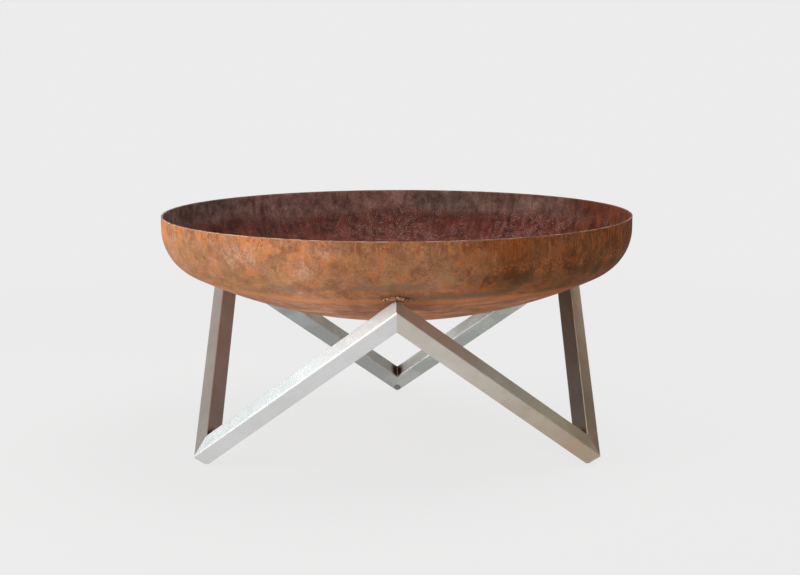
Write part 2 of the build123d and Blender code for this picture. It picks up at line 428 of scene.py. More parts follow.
    # edge of the rim worn pale, with a painted highlight along the rounded lip, paler on the side
    # toward the key lamp
    edge = N.step(z, 0.3921, 0.3938)
    col = N.mix(times(edge, 0.40), col,
                N.mix(patina_and_painted_light, srgb(120, 76, 48), srgb(206, 168, 142)))
    N.to("Base Color", col)
    rough = N.m("ADD", 0.66, N.m("MULTIPLY", fine, 0.26))
    rough = N.m("SUBTRACT", rough, N.m("MULTIPLY", smear_m, 0.12))
    N.to("Roughness", rough)
    N.set(Metallic=0.0, IOR=1.5)
    N.bsdf.inputs["Specular IOR Level"].default_value = 0.12
    h = N.m("ADD", N.m("MULTIPLY", fine, 0.8), N.m("MULTIPLY", mott, 0.8))
    h = N.m("ADD", h, N.m("MULTIPLY", light_drip, 0.25))
    h = N.m("SUBTRACT", h, N.m("MULTIPLY", dark, 0.5))
    micro = N.noise(N.pos, 900.0, 2.0, 0.6)
    h = N.m("ADD", h, N.m("MULTIPLY", micro, 0.25))
    N.to("Normal", N.bump(h, 0.46, 0.0010))
    return N.mat


def rust_inside():
    N = Nodes("weathering_steel_inside")
    x, y, z, r, cx, cy = round_dirs(N)
    big = N.noise(N.pos, 6.5, 4.0, 0.58)
    side = N.vm("DOT_PRODUCT", N.join(cx, cy, 0.0), (0.96, -0.10, 0.0))
    swing = N.m("SUBTRACT", big, 0.5)
    warm = N.step(N.m("ADD", N.m("MULTIPLY", side, 0.60),
                      N.m("MULTIPLY", swing, 1.1)), 0.10, 0.70)
    mott = N.noise(N.pos, 44.0, 5.0, 0.66)
    fine = N.noise(N.pos, 240.0, 4.0, 0.72)
    grey = N.ramp(mott, [(0.34, srgb(88, 65, 60)), (0.46, srgb(112, 85, 78)),
                         (0.57, srgb(128, 100, 91)), (0.70, srgb(148, 122, 113))])
    maroon = N.ramp(mott, [(0.34, srgb(66, 33, 27)), (0.46, srgb(90, 44, 35)),
                           (0.57, srgb(106, 54, 42)), (0.70, srgb(124, 70, 56))])
    red = N.ramp(mott, [(0.34, srgb(70, 33, 19)), (0.46, srgb(97, 46, 26)),
                        (0.57, srgb(112, 57, 33)), (0.70, srgb(130, 73, 48))])
    low = N.step(N.m("ADD", z, N.m("MULTIPLY", swing, 0.05)), 0.370, 0.338)
    col = N.mix(low, grey, maroon)
    col = N.mix(warm, col, red)
    # the high right wall has an orange lip
    lip = N.m("MULTIPLY", N.step(side, 0.72, 0.98),
              N.step(N.m("ADD", z, N.m("MULTIPLY", swing, 0.08)), 0.352, 0.388))
    col = N.mix(N.m("MULTIPLY", lip, 0.50), col, srgb(140, 72, 36))
    grain = N.ramp(fine, [(0.34, (0.60, 0.56, 0.56)), (0.45, (0.88, 0.86, 0.86)),
                          (0.52, (1.02, 1.01, 1.01)), (0.66, (1.40, 1.36, 1.36))])
    col = N.mix(0.66, col, grain, "MULTIPLY")
    # painted light: the back wall, high up, is painted lighter and warmer
    back = N.step(N.vm("DOT_PRODUCT", N.join(cx, cy, 0.0), (-0.37, 0.93, 0.0)),
                  0.82, 0.97)
    col = N.mix(N.m("MULTIPLY", back, N.step(z, 0.340, 0.380)), col,
                (1.55, 1.34, 1.34), "MULTIPLY")
    # runs of water down the wall
    run_v = N.join(N.m("MULTIPLY", cx, 0.4), N.m("MULTIPLY", cy, 0.4),
                   N.m("MULTIPLY", z, 0.12))
    run = N.noise(run_v, 80.0, 3.0, 0.6)
    wall = N.step(z, 0.285, 0.33)
    col = N.mix(N.m("MULTIPLY", N.m("MULTIPLY", N.step(run, 0.46, 0.38), wall), 0.32),
                col, srgb(52, 34, 30))
    # crumbly patches of pale ash and mill scale, most on the back wall
    lump = N.noise(N.pos, 90.0, 4.0, 0.66)
    g1 = N.step(N.cells(N.pos, 230.0), 0.40, 0.18)
    g2 = N.step(N.cells(N.pos, 340.0), 0.42, 0.20)
    crumb = N.m("MAXIMUM", N.m("MULTIPLY", g1, N.step(lump, 0.49, 0.57)),
                N.m("MULTIPLY", g2, N.step(lump, 0.42, 0.50)))
    patch = N.noise(N.pos, 12.0, 4.0, 0.62)
    zone = N.m("MULTIPLY", N.step(z, 0.384, 0.352), N.step(z, 0.215, 0.26))
    right = N.step(N.vm("DOT_PRODUCT", N.join(cx, cy, 0.0), (0.62, 0.78, 0.0)),
                   0.10, 0.80, 0.30, 1.0)
    crumb_m = N.m("MULTIPLY", N.m("MULTIPLY", crumb, zone),
                  N.m("MULTIPLY", N.step(patch, 0.40, 0.53), right))
    film = N.m("MULTIPLY", N.step(lump, 0.44, 0.60),
               N.m("MULTIPLY", zone, N.m("MULTIPLY", N.step(patch, 0.42, 0.56), right)))
    col = N.mix(N.m("MULTIPLY", film, 0.24), col, srgb(132, 98, 94))
    col = N.mix(N.m("MULTIPLY", crumb_m, 0.58), col, srgb(168, 130, 122))
    # floor of the bowl: water stain rings, ash film and drain stain
    ringv = N.m("ADD", r, N.m("MULTIPLY", swing, 0.10))
    stain = N.m("MULTIPLY", N.step(ringv, 0.150, 0.156), N.step(ringv, 0.172, 0.158))
    stain = N.m("ADD", stain, N.m("MULTIPLY", N.step(ringv, 0.085, 0.089),
                                  N.step(ringv, 0.100, 0.091)))
    col = N.mix(N.m("MULTIPLY", stain, 0.40), col, srgb(150, 92, 56))
    ash = N.m("MULTIPLY", N.step(N.noise(N.pos, 8.0, 5.0, 0.64), 0.46, 0.62),
              N.step(r, 0.31, 0.16))
    ash = N.m("MULTIPLY", ash, N.step(fine, 0.38, 0.56))
    col = N.mix(N.m("MULTIPLY", ash, 0.55), col, srgb(150, 138, 130))
    drain = N.step(r, 0.030, 0.008)
    col = N.mix(N.m("MULTIPLY", drain, 0.6), col, srgb(120, 62, 34))
    # pits
    sp = N.cells(N.pos, 270.0)
    pick = N.noise(N.pos, 48.0, 2.0, 0.5)
    pit = N.m("MULTIPLY", N.step(sp, 0.32, 0.14), N.step(pick, 0.48, 0.38))
    col = N.mix(N.m("MULTIPLY", pit, 0.65), col, srgb(34, 22, 20))
    edge = N.step(z, 0.3922, 0.3938)
    col = N.mix(N.m("MULTIPLY", edge, 0.35), col, srgb(130, 96, 80))
    N.to("Base Color", col)
    N.to("Roughness", N.m("ADD", 0.60, N.m("MULTIPLY", fine, 0.32)))
    N.set(Metallic=0.0, IOR=1.5)
    N.bsdf.inputs["Specular IOR Level"].default_value = 0.15
    h = N.m("ADD", N.m("MULTIPLY", fine, 0.8), N.m("MULTIPLY", mott, 0.9))
    h = N.m("ADD", h, N.m("MULTIPLY", crumb_m, 0.5))
    h = N.m("SUBTRACT", h, N.m("MULTIPLY", pit, 0.6))
    N.to("Normal", N.bump(h, 0.60, 0.0010))
    return N.mat


def rust_rim():
    N = Nodes("weathering_steel_cut_edge")
    n1 = N.noise(N.pos, 70.0, 4.0, 0.65, 0.3)
    n2 = N.noise(N.pos, 420.0, 3.0, 0.6)
    x, y, z, r, cx, cy = round_dirs(N)
    side = N.vm("DOT_PRODUCT", N.join(cx, cy, 0.0), (-0.93, -0.35, 0.0))
    patina_and_painted_light = N.step(N.m("ADD", side, N.m("MULTIPLY", N.m("SUBTRACT", n1, 0.5), 1.2)),
                  -0.8, 0.9)
    # the cut edge: worn pale, with a painted highlight on the side toward the key lamp and painted
    # shade on the side away
    worn_and_painted_highlight = N.mix(patina_and_painted_light, srgb(168, 116, 84), srgb(216, 184, 160))
    dark = N.mix(patina_and_painted_light, srgb(78, 44, 26), srgb(164, 112, 84))
    col = N.mix(N.step(N.noise(N.pos, 46.0, 4.0, 0.62), 0.46, 0.60), dark, worn_and_painted_highlight)
    col = N.mix(N.m("MULTIPLY", N.step(n2, 0.58, 0.68), 0.5), col,
                srgb(120, 70, 44))
    col = N.mix(N.step(cy, -0.15, 0.30, 0.0, 0.82), col,
                N.mix(N.step(n1, 0.42, 0.60), srgb(74, 48, 40), srgb(112, 80, 66)))
    N.to("Base Color", col)
    N.to("Roughness", N.m("ADD", 0.42, N.m("MULTIPLY", n2, 0.32)))
    N.set(Metallic=0.0)
    N.bsdf.inputs["Specular IOR Level"].default_value = 0.5
    N.to("Normal", N.bump(N.m("ADD", n1, N.m("MULTIPLY", n2, 0.6)), 0.5, 0.0006))
    return N.mat


def rust_weld():
    N = Nodes("seat_stop_rust")
    n1 = N.noise(N.pos, 150.0, 4.0, 0.6, 0.5)
    n2 = N.noise(N.pos, 520.0, 3.0, 0.6)
    n3 = N.noise(N.pos, 260.0, 2.0, 0.5)
    col = N.ramp(n1, [(0.34, srgb(70, 40, 26)), (0.45, srgb(140, 92, 60)),
                      (0.56, srgb(184, 130, 92)), (0.68, srgb(210, 166, 128))])
    col = N.mix(N.m("MULTIPLY", N.step(n3, 0.45, 0.38), 0.85), col, srgb(44, 25, 16))
    col = N.mix(N.m("MULTIPLY", N.step(n2, 0.57, 0.66), 0.6), col, srgb(60, 34, 22))
    N.to("Base Color", col)
    N.to("Roughness", N.m("ADD", 0.5, N.m("MULTIPLY", n2, 0.3)))
    N.bsdf.inputs["Specular IOR Level"].default_value = 0.5
    N.to("Normal", N.bump(N.m("ADD", n1, N.m("MULTIPLY", n2, 0.5)), 0.5, 0.0008))
    return N.mat


def tube_axes(name):
    ta, ba = TUBES[name]
    a, b = math.radians(ta), math.radians(ba)
    top = Vector((CORNER_R * math.cos(a), CORNER_R * math.sin(a), TOP_Z))
    bot = Vector((CORNER_R * math.cos(b), CORNER_R * math.sin(b), BOTTOM_Z))
    u = (bot - top).normalized()
    side = u.cross(Vector((0, 0, 1))).normalized()
    up = side.cross(u).normalized()
    return top, bot, u, (side + up).normalized(), (side - up).normalized()


UP_LEFT, UP_RIGHT = (-0.7071, -0.4082, 0.5774), (0.7071, -0.4082, 0.5774)
LOW_FRONT = (0.0, -0.8165, -0.5774)


def brushed(name, base, seed, faces=(), painted_shade_down_tube=None, mottle=0.2, stain=0.0,
            straw=0.12, tint=1.0, grain=0.08):
    """Stainless tube, brushed along its length; heat tint at both mitres.

    faces: (normal, colour factor[, factor reached at the lower end]) for
    flats whose colour is scaled to paint the light and reflections each
    one catches, painted highlight and painted shade; fade: the same
    painted shade for the whole tube, toward its lower end; tint: the
    reach of the dark tint in the inner angles; grain: the bump."""
    top, bot, u, e1, e2 = tube_axes(name)
    N = Nodes("brushed_" + name)
    L = N.vm("DOT_PRODUCT", N.pos, tuple(u))
    A = N.vm("DOT_PRODUCT", N.pos, tuple(e1))
    B = N.vm("DOT_PRODUCT", N.pos, tuple(e2))
    off = 3.17 * seed
    brush_v = N.join(N.m("ADD", N.m("MULTIPLY", L, 0.018), off), A, B)
    brush_w = N.join(N.m("ADD", N.m("MULTIPLY", L, 0.05), off), A, B)
    b1 = N.noise(brush_v, 2600.0, 3.0, 0.65)
    b2 = N.noise(brush_w, 620.0, 3.0, 0.6)
    cloud = N.noise(N.vm("ADD", N.pos, (off, 0.0, 0.0)), 17.0, 4.0, 0.6)
    hand = N.noise(N.pos, 36.0, 4.0, 0.62)
    c = N.mix(b1, tuple(v * 0.88 for v in base), tuple(min(v * 1.10, 1) for v in base))
    c = N.mix(N.m("MULTIPLY", N.step(b2, 0.40, 0.62), 0.30), c,
              tuple(min(v * 1.07, 1) for v in base))
    c = N.mix(N.m("MULTIPLY", N.step(cloud, 0.46, 0.62), mottle), c,
              tuple(v * k for v, k in zip(base, (0.66, 0.64, 0.60))))
    c = N.mix(N.m("MULTIPLY", N.step(cloud, 0.50, 0.38), mottle), c,
              tuple(min(v * k, 1) for v, k in zip(base, (1.14, 1.18, 1.20))))
    span = (bot - top).length
    t = N.m("DIVIDE", N.m("SUBTRACT", L, top.dot(u)), span)
    t = N.m("ADD", t, N.m("MULTIPLY", N.m("SUBTRACT", hand, 0.5), 0.20))
    down = N.step(t, 0.12, 0.95)
    # painted light: each flat's colour scaled to the light and reflections it catches, with a further
    # factor toward the lower end where given
    for face in faces:
        on = N.step(N.vm("DOT_PRODUCT", N.normal, face[0]), 0.72, 0.93)
        c = N.mix(on, c, face[1], "MULTIPLY")
        if len(face) > 2:
            c = N.mix(N.m("MULTIPLY", on, down), c, face[2], "MULTIPLY")
    # painted shade: the whole tube's colour scaled toward its lower end
    if painted_shade_down_tube:
        c = N.mix(down, c, painted_shade_down_tube, "MULTIPLY")
    # heat tint, straw then brown, beside the weld at each end
    for P in (top, bot):
        d = N.vm("DISTANCE", N.pos, tuple(P))
        dd = N.m("ADD", d, N.m("MULTIPLY", N.m("SUBTRACT", hand, 0.5), 0.020))
        c = N.mix(N.m("MULTIPLY", N.step(dd, 0.052, 0.030), straw), c,
                  srgb(176, 150, 116))
    # the tint is dark only in the inner angle, where nobody can polish
    radial_t = Vector((top.x, top.y, 0)).normalized()
    radial_b = Vector((bot.x, bot.y, 0)).normalized()
    for P, sgn, radial in ((top, -1.0, radial_t), (bot, 1.0, radial_b)):
        P = P - radial * 0.012 + Vector((0, 0, sgn * 0.016))
        face = (-radial + Vector((0, 0, sgn))).normalized()
        on = N.step(N.vm("DOT_PRODUCT", N.normal, tuple(face)), 0.40, 0.62)
        d = N.vm("DISTANCE", N.pos, tuple(P))
        dd = N.m("ADD", d, N.m("MULTIPLY", N.m("SUBTRACT", hand, 0.5), 0.010))
        c = N.mix(N.m("MULTIPLY", N.m("MULTIPLY", N.step(dd, 0.0265 * tint, 0.0170 * tint), on), 0.62),
                  c, srgb(130, 108, 96))
        c = N.mix(N.m("MULTIPLY", N.m("MULTIPLY", N.step(dd, 0.0190 * tint, 0.0130 * tint), on), 0.90),
                  c, srgb(74, 56, 52))
    if stain:
        d = N.vm("DISTANCE", N.pos, tuple(bot.lerp(top, 0.08)))
        dd = N.m("ADD", d, N.m("MULTIPLY", N.m("SUBTRACT", hand, 0.5), 0.05))
        c = N.mix(N.m("MULTIPLY", N.step(dd, 0.044, 0.014), stain), c,
                  srgb(190, 152, 122))
    N.to("Base Color", c)
    rough = N.m("ADD", 0.36, N.m("MULTIPLY", b1, 0.12))
    rough = N.m("ADD", rough, N.m("MULTIPLY", N.step(hand, 0.50, 0.66), 0.05))
    N.to("Roughness", rough)
    N.set(Metallic=1.0, Anisotropic=0.80, Anisotropic_Rotation=0.25)
    N.to("Tangent", N.join(*u))
    h = N.m("ADD", b1, N.m("MULTIPLY", b2, 0.5))
    N.to("Normal", N.bump(h, grain, 0.00010))
    return N.mat


def weld_steel():
    N = Nodes("weld_bead_stainless")
    n1 = N.noise(N.pos, 120.0, 3.0, 0.6, 0.4)
    n2 = N.noise(N.pos, 700.0, 3.0, 0.6)
    c = N.ramp(n1, [(0.32, srgb(96, 72, 66)), (0.46, srgb(150, 132, 112)),
                    (0.60, srgb(186, 180, 170)), (0.75, srgb(120, 122, 138))])
    N.to("Base Color", c)
    N.to("Roughness", N.m("ADD", 0.26, N.m("MULTIPLY", n2, 0.25)))
    N.set(Metallic=1.0)
    N.to("Normal", N.bump(n2, 0.25, 0.0003))
    return N.mat


def ground_steel():
    N = Nodes("ground_mitre_stainless")
    n1 = N.noise(N.pos, 260.0, 3.0, 0.6)
    n2 = N.noise(N.join(N.m("MULTIPLY", N.split(N.pos)[2], 0.1),
                        N.split(N.pos)[0], N.split(N.pos)[1]), 1500.0, 2.0, 0.6)
    c = N.mix(N.step(n1, 0.35, 0.65), (0.62, 0.61, 0.60), (0.74, 0.74, 0.73))
    N.to("Base Color", c)
    N.to("Roughness", N.m("ADD", 0.22, N.m("MULTIPLY", n2, 0.16)))
    N.set(Metallic=1.0)
    N.to("Normal", N.bump(n2, 0.12, 0.00015))
    return N.mat


def plug_steel():
    N = Nodes("vent_plug_steel")
    n1 = N.noise(N.pos, 420.0, 3.0, 0.6)
    n2 = N.noise(N.pos, 1500.0, 2.0, 0.6)
    c = N.ramp(n1, [(0.36, srgb(88, 90, 86)), (0.50, srgb(120, 122, 118)),
                    (0.64, srgb(150, 152, 148))])
    N.to("Base Color", c)
    N.to("Roughness", N.m("ADD", 0.38, N.m("MULTIPLY", n2, 0.22)))
    N.set(Metallic=0.8)
    N.to("Normal", N.bump(n2, 0.2, 0.0002))
    return N.mat


def grate_steel():
    N = Nodes("grate_scaled_steel")
    big = N.noise(N.pos, 14.0, 4.0, 0.6, 0.5)
    mid = N.noise(N.pos, 85.0, 4.0, 0.65, 0.4)
    fine = N.noise(N.pos, 480.0, 3.0, 0.65)
    scale_c = N.ramp(mid, [(0.30, srgb(34, 30, 30)), (0.50, srgb(52, 46, 44)),
                           (0.70, srgb(74, 66, 62))])
    rust_c = N.ramp(fine, [(0.30, srgb(72, 38, 26)), (0.50, srgb(112, 62, 40)),
                           (0.70, srgb(148, 90, 60))])
    m = N.step(N.m("ADD", N.m("MULTIPLY", big, 0.6), N.m("MULTIPLY", mid, 0.4)),
               0.50, 0.62)
    col = N.mix(N.m("MULTIPLY", m, 0.85), scale_c, rust_c)
    up = N.split(N.normal)[2]
    ash = N.m("MULTIPLY", N.step(up, 0.35, 0.95),
              N.step(N.noise(N.pos, 24.0, 4.0, 0.65), 0.46, 0.66))
    ash = N.m("MULTIPLY", ash, N.step(fine, 0.35, 0.62))
    col = N.mix(N.m("MULTIPLY", ash, 0.60), col, srgb(158, 148, 140))
    N.to("Base Color", col)
    N.to("Roughness", N.m("ADD", 0.48, N.m("MULTIPLY", fine, 0.36)))
    N.set(Metallic=0.0)
    N.bsdf.inputs["Specular IOR Level"].default_value = 0.5
    h = N.m("ADD", N.m("MULTIPLY", mid, 0.8), N.m("MULTIPLY", fine, 0.6))
    N.to("Normal", N.bump(h, 0.5, 0.0007))
    return N.mat


def pale_floor():
    N = Nodes("studio_floor")
    n = N.noise(N.pos, 1.3, 2.0, 0.5)
    N.to("Base Color", N.mix(n, (0.80, 0.80, 0.80), (0.83, 0.83, 0.83)))
    N.set(Roughness=0.9)
    N.bsdf.inputs["Specular IOR Level"].default_value = 0.1
    em = N.t.nodes.new("ShaderNodeEmission")
    em.inputs["Color"].default_value = (0.838, 0.838, 0.838, 1)
    em.inputs["Strength"].default_value = 1.0
    mx = N.t.nodes.new("ShaderNodeMixShader")
    d = N.vm("LENGTH", N.pos)
    N.t.links.new(N.step(d, 0.7, 2.6, FLOOR_GLOW, 1.0), mx.inputs[0])
    N.t.links.new(N.bsdf.outputs[0], mx.inputs[1])
    N.t.links.new(em.outputs[0], mx.inputs[2])
    clear = N.t.nodes.new("ShaderNodeBsdfTransparent")
    two = N.t.nodes.new("ShaderNodeMixShader")
    geo = N.t.nodes.new("ShaderNodeNewGeometry")
    N.t.links.new(geo.outputs["Backfacing"], two.inputs[0])
    N.t.links.new(mx.outputs[0], two.inputs[1])
    N.t.links.new(clear.outputs[0], two.inputs[2])
    N.t.links.new(two.outputs[0], N.out.inputs[0])
    return N.mat


# -------------------------------------------------------------------- the bowl
def arc(cx, cz, rad, a0, a1, n):
    t = np.linspace(a0, a1, n)
    return np.stack([cx + rad * np.cos(t), cz + rad * np.sin(t)], 1)


def bowl_piece():
    """The dish as one closed skin: outside, cut rim, inside, drain hole."""
    nth = 760
    inner_k, inner_c = KNUCKLE_R - BOWL_T, CROWN_R - BOWL_T
    a_out = -math.acos(DRAIN_R / CROWN_R)
    a_in = -math.acos(DRAIN_R / inner_c)
    crown_out = arc(0, CROWN_Z, CROWN_R, a_out, TAN_A, 64)
    knuckle_out = arc(KN_R, KN_Z, KNUCKLE_R, TAN_A, 0, 40)[1:]
    fz = np.linspace(KN_Z, RIM_Z - 0.0007, 10)[1:]
    flange_out = np.stack([np.full_like(fz, BOWL_R), fz], 1)
    e = 0.0007
    rim = np.vstack([
        arc(BOWL_R - e, RIM_Z - e, e, 0, math.pi / 2, 6)[1:],
        np.stack([np.linspace(BOWL_R - e, BOWL_R - BOWL_T + e, 5)[1:-1],
                  np.full(3, RIM_Z)], 1),
        arc(BOWL_R - BOWL_T + e, RIM_Z - e, e, math.pi / 2, math.pi, 6)[:-1]])
    flange_in = np.stack([np.full_like(fz, BOWL_R - BOWL_T), fz[::-1]], 1)
    knuckle_in = arc(KN_R, KN_Z, inner_k, 0, TAN_A, 40)
    crown_in = arc(0, CROWN_Z, inner_c, TAN_A, a_in, 64)[1:]
    hole = np.stack([np.full(2, DRAIN_R),
                     np.linspace(crown_in[-1][1], crown_out[0][1], 4)[1:-1]], 1)
    parts = [crown_out, knuckle_out, flange_out, rim, flange_in, knuckle_in,
             crown_in, hole]
    kind = sum(([k] * len(p) for k, p in zip((0, 0, 0, 1, 2, 2, 2, 2), parts)), [])
    prof = np.vstack(parts)
    kind = np.array(kind)
    # normals of the profile, pointing out of the metal
    d = np.roll(prof, -1, 0) - np.roll(prof, 1, 0)
    d /= np.linalg.norm(d, axis=1)[:, None]
    nrm = np.stack([d[:, 1], -d[:, 0]], 1)
    m = len(prof)
    th = np.arange(nth) * 2 * math.pi / nth
    R, T = np.meshgrid(prof[:, 0], th)
    Z, _ = np.meshgrid(prof[:, 1], th)
    NR, _ = np.meshgrid(nrm[:, 0], th)
    NZ, _ = np.meshgrid(nrm[:, 1], th)
    K, _ = np.meshgrid(kind, th)
    R, T, Z, NR, NZ, K = (a.ravel() for a in (R, T, Z, NR, NZ, K))
    P = np.stack([R * np.cos(T), R * np.sin(T), Z], 1)
    # the pressed plate is never quite even, and it is pitted by rust
    wave = fbm(P * 9.0, 2, 5)
    ripple = fbm(P * 42.0, 2, 9)
    pits = fbm(P * 260.0, 2, 21)
    both = -0.00030 * (wave + 1) * 0.5          # both faces move together
    amp = np.where(K == 1, 0.0, 1.0)
    skin = -0.00006 * (ripple + 1) - 0.00005 * np.clip(pits, 0, 1)
    outward = np.where(K == 2, -1.0, 1.0)
    shift = amp * (both * outward + skin)
    # the cut rim was ground by hand
    rim_n = fbm(P * np.array([60.0, 60.0, 60.0]), 3, 33)
    shift = np.where(K == 1, -0.00012 * (rim_n + 1), shift)
    near_drain = np.clip((R - 0.012) / 0.02, 0, 1)
    shift = shift * near_drain
    P = P + np.stack([NR * np.cos(T), NR * np.sin(T), NZ], 1) * shift[:, None]
    i = np.arange(nth)[:, None]
    j = np.arange(m)[None, :]
    a = i * m + j
    b = i * m + (j + 1) % m
    c = ((i + 1) % nth) * m + (j + 1) % m
    e2 = ((i + 1) % nth) * m + j
    faces = np.stack([a, e2, c, b], 2).reshape(-1, 4)
    nxt = np.roll(kind, -1)
    fm = np.where((kind == 1) | (nxt == 1), 1, kind)
    face_mat = np.tile(fm, nth)
    ob = mesh_object("bowl_skin", P, faces, (OUTSIDE, RIM, INSIDE), face_mat)
    return ob


def knuckle_point(plan_r, lift):
    c = (plan_r - KN_R) / KNUCKLE_R
    s = -math.sqrt(1 - c * c)
    return KN_R + (KNUCKLE_R + lift) * c, KN_Z + (KNUCKLE_R + lift) * s, c, s


def stop_piece(name, angle, seed):
    """Rusty chevron stop: a half-round bar run over with weld."""
    n, k = 84, 16
    nose, half, tail = 0.366, 0.0205, 0.3574
    path, norms = [], []
    for t in np.linspace(-1.06, 1.06, n):
        # rounded nose of the chevron, in plan
        s = math.sqrt(t * t + 0.012) - math.sqrt(0.012)
        x = nose - (nose - tail) * s
        y = half * t
        pr = math.hypot(x, y)
        R0, Z0, c, sn = knuckle_point(pr, 0.0)
        path.append((x, y, Z0))
        norms.append((c * x / pr, c * y / pr, sn))
    path, norms = np.array(path), np.array(norms)
    tan = np.gradient(path, axis=0)
    tan /= np.linalg.norm(tan, axis=1)[:, None]
    sid = np.cross(norms, tan)
    arc_s = np.concatenate([[0], np.cumsum(np.linalg.norm(np.diff(path, axis=0), axis=1))])
    total = arc_s[-1]
    verts = []
    rng = np.random.RandomState(seed)
    lump = np.interp(arc_s, np.linspace(0, total, 15), rng.uniform(-1, 1, 15))
    for q in range(n):
        end = min(arc_s[q], total - arc_s[q]) / 0.0034
        cap = math.sqrt(max(0.0, 1 - (1 - min(end, 1)) ** 2))
        rip = 0.5 + 0.5 * math.cos(arc_s[q] / 0.0021 * 2 * math.pi
                                   + 0.8 * math.sin(q * 0.31 + seed))
        h = (0.0040 + 0.0007 * lump[q] + 0.0005 * rip) * cap
        w = (0.0040 + 0.0004 * lump[(q * 3) % n] + 0.0003 * rip) * max(cap, 0.12)
        for f in range(k):
            al = math.pi * f / (k - 1)
            verts.append(path[q] + sid[q] * (w * math.cos(al))
                         + norms[q] * (h * math.sin(al)))
        verts.append(path[q] - norms[q] * 0.0012)
    verts = np.array(verts)
    verts += (fbm(verts * 420.0, 2, seed)[:, None] * 0.00022)
    kk = k + 1
    faces = []
    for q in range(n - 1):
        for f in range(kk):
            g = (f + 1) % kk
            faces.append((q * kk + f, q * kk + g, (q + 1) * kk + g, (q + 1) * kk + f))
    faces.append(tuple(range(kk))[::-1])
    faces.append(tuple((n - 1) * kk + f for f in range(kk)))
    ang = math.radians(angle)
    rot = np.array([[math.cos(ang), -math.sin(ang), 0],
                    [math.sin(ang), math.cos(ang), 0], [0, 0, 1]])
    verts = verts @ rot.T
    return mesh_object(name, verts, faces, (STOP,))


# --------------------------------------------------------- welds of the stand
def rounded_square(a, r, n=6):
    pts = []
    h = a / 2 - r
    for k, (sx, sy) in enumerate(((1, 1), (-1, 1), (-1, -1), (1, -1))):
        for q in range(n):
            t = math.pi / 2 * (k + q / (n - 1))
            pts.append((sx * h + r * math.cos(t), sy * h + r * math.sin(t)))
    return pts


def mitre_outline(tube, top_end):
    """Outline of the mitre cut, as points in space, in order."""
    top, bot, u, e1, e2 = tube_axes(tube)
    corner = top if top_end else bot
    radial = Vector((corner.x, corner.y, 0)).normalized()
    flat = Vector((-radial.y, radial.x, 0))
    pts = []
    for p, q in rounded_square(TUBE_A, TUBE_CORNER_R):
        o = e1 * p + e2 * q
        t = -(o.dot(flat)) / u.dot(flat)
        pts.append(corner + o + u * t)
    return corner, radial, pts


def ribbon(points, radius_at, ring=10):
    """Tube mesh along points, with a radius at each, and round ends."""
    P = np.array([tuple(p) for p in points])
    tan = np.gradient(P, axis=0)
    tan /= np.linalg.norm(tan, axis=1)[:, None]
    ref = np.array([0.0, 0.0, 1.0])
    verts, faces = [], []
    n = len(P)
    prev = None
    for k in range(n):
        if prev is None:
            s = np.cross(tan[k], ref)
            if np.linalg.norm(s) < 1e-3:
                s = np.cross(tan[k], np.array([1.0, 0, 0]))
        else:
            s = prev - tan[k] * prev.dot(tan[k])
        s /= np.linalg.norm(s)
        prev = s
        b = np.cross(tan[k], s)
        for f in range(ring):
            a = 2 * math.pi * f / ring
            verts.append(P[k] + radius_at[k] * (math.cos(a) * s + math.sin(a) * b))
    for k in range(n - 1):
        for f in range(ring):
            g = (f + 1) % ring
            faces.append((k * ring + f, k * ring + g,
                          (k + 1) * ring + g, (k + 1) * ring + f))
    faces.append(tuple(range(ring))[::-1])
    faces.append(tuple((n - 1) * ring + f for f in range(ring)))
    return verts, faces


def resample(pts, spacing):
    P = np.array([tuple(p) for p in pts])
    s = np.concatenate([[0], np.cumsum(np.linalg.norm(np.diff(P, axis=0), axis=1))])
    n = max(4, int(s[-1] / spacing))
    t = np.linspace(0, s[-1], n)
    return np.stack([np.interp(t, s, P[:, k]) for k in range(3)], 1), t, s[-1]


def corner_weld(name, tube, top_end, seed):
    """One corner: rippled bead in the inner angle, ground ridge outside."""
    corner, radial, pts = mitre_outline(tube, top_end)
    n = len(pts)
    zs = [p.z for p in pts]
    hi = max(range(n), key=lambda k: zs[k])
    lo = min(range(n), key=lambda k: zs[k])
    rad = [p.dot(radial) for p in pts]
    inn = min(range(n), key=lambda k: rad[k])
    outm = max(range(n), key=lambda k: rad[k])

    def run(a, b):
        """Points from a to b, the short way round."""
        f, g = (b - a) % n, (a - b) % n
        return [pts[(a + k) % n] for k in range(f + 1)] if f <= g else \
            [pts[(a - k) % n] for k in range(g + 1)]

    concave = run(inn, lo if top_end else hi)
    convex = run(hi if top_end else lo, outm)
    rng = np.random.RandomState(seed)
    C, t, total = resample(concave, 0.00045)
    wob = np.interp(t, np.linspace(0, total, 12), rng.uniform(-1, 1, 12))
    rad_c = 0.0017 + 0.00022 * wob + 0.00028 * np.cos(t / 0.0016 * 2 * math.pi)
    end = np.minimum(t, total - t) / 0.003
    rad_c = rad_c * np.clip(end, 0.25, 1)
    cen = np.array(tuple(corner))
    away = C - cen
    away /= np.linalg.norm(away, axis=1)[:, None]
    C = C + away * 0.0004
    v1, f1 = ribbon(C, rad_c, 10)
    V, t2, total2 = resample(convex, 0.0010)
    inward = cen - V
    inward /= np.linalg.norm(inward, axis=1)[:, None]
    V = V + inward * 0.00062
    if not top_end:
        V = V[V[:, 2] > 0.0012]
    v2, f2 = ribbon(V, np.full(len(V), 0.00075), 10)
    off = len(v1)
    verts = v1 + v2
    faces = f1 + [tuple(i + off for i in f) for f in f2]
    fm = [0] * len(f1) + [1] * len(f2)
    return mesh_object(name, verts, faces, (WELD, GROUND), fm)


